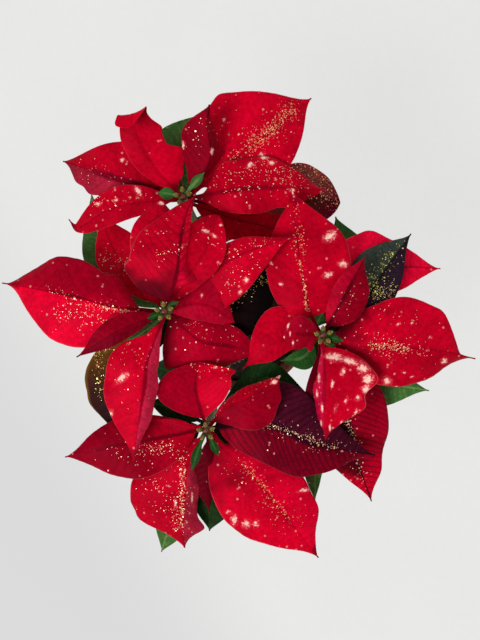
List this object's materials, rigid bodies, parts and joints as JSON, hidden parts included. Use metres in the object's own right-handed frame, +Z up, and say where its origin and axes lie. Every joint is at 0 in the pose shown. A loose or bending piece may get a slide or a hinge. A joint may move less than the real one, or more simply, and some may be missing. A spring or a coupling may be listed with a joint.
{
  "type": "potted poinsettia",
  "caption": "Potted poinsettia with crimson bracts, a few dark bronze leaves and green foliage in a plain round pot.",
  "frame": {"origin": "middle of the pot's underside, on its axis", "axes": "+Z up along the pot's axis; +X towards the right of the plant as pictured from above, +Y towards its top edge"},
  "size_m": [0.3565, 0.3567, 0.2955],
  "materials": {
    "pot_clay_plastic": "matt",
    "potting_soil": "crumbly",
    "woody_stem": "bark",
    "green_leaf": "satin",
    "red_bract": "velvety",
    "bronze_leaf": "satin",
    "true_flower": "waxy"
  },
  "bodies": {
    "root": {"pot": "pot_clay_plastic", "soil": "potting_soil", "trunk": "woody_stem", "shoot_a": "green_leaf", "shoot_b": "green_leaf", "shoot_c": "green_leaf", "shoot_d": "green_leaf", "bloom_a": "red_bract", "bloom_b": "red_bract", "bloom_c": "red_bract", "bloom_d": "red_bract", "flowers_a": "true_flower", "flowers_b": "true_flower", "flowers_c": "true_flower", "flowers_d": "true_flower", "bronze_leaf_a": "bronze_leaf", "bronze_leaf_b_left": "bronze_leaf", "bronze_leaf_b_middle": "bronze_leaf", "bronze_leaf_c": "bronze_leaf"}
  },
  "joints": []
}
